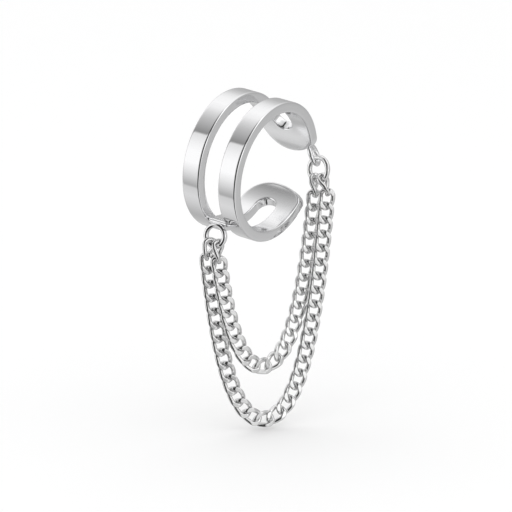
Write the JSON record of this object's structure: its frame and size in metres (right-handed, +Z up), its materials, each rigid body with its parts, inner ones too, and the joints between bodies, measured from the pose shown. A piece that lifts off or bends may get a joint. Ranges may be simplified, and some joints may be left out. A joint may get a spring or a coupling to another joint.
{
  "type": "ear chain earring",
  "caption": "Open ear cuff made of a slotted strip bent to a C, with two curb-chain swags hung from a soldered ring at its lower back to a jump ring under the tip of its upper paddle.",
  "frame": {"origin": "centre of the cuff's round hollow, where the rim of the ear sits", "axes": "+Z up as the earring hangs on an ear; +X out of the mouth of the C; -Y towards the front of the cuff, whose own axis leans 8.2 degrees out of the level in the YZ plane, rising towards +Y"},
  "size_m": [0.0129, 0.0081, 0.0288],
  "materials": {
    "polished_silver": "mirror-polished, rhodium-flashed 925 silver strip",
    "drawn_wire_silver": "bright drawn 925 silver wire",
    "curb_chain_silver": "bright 925 silver wire, links lightly filed and tumbled"
  },
  "bodies": {
    "root": {"ear_cuff": "polished_silver", "upper_jump_ring": "drawn_wire_silver", "outer_chain": "curb_chain_silver", "inner_chain": "curb_chain_silver"}
  },
  "joints": []
}
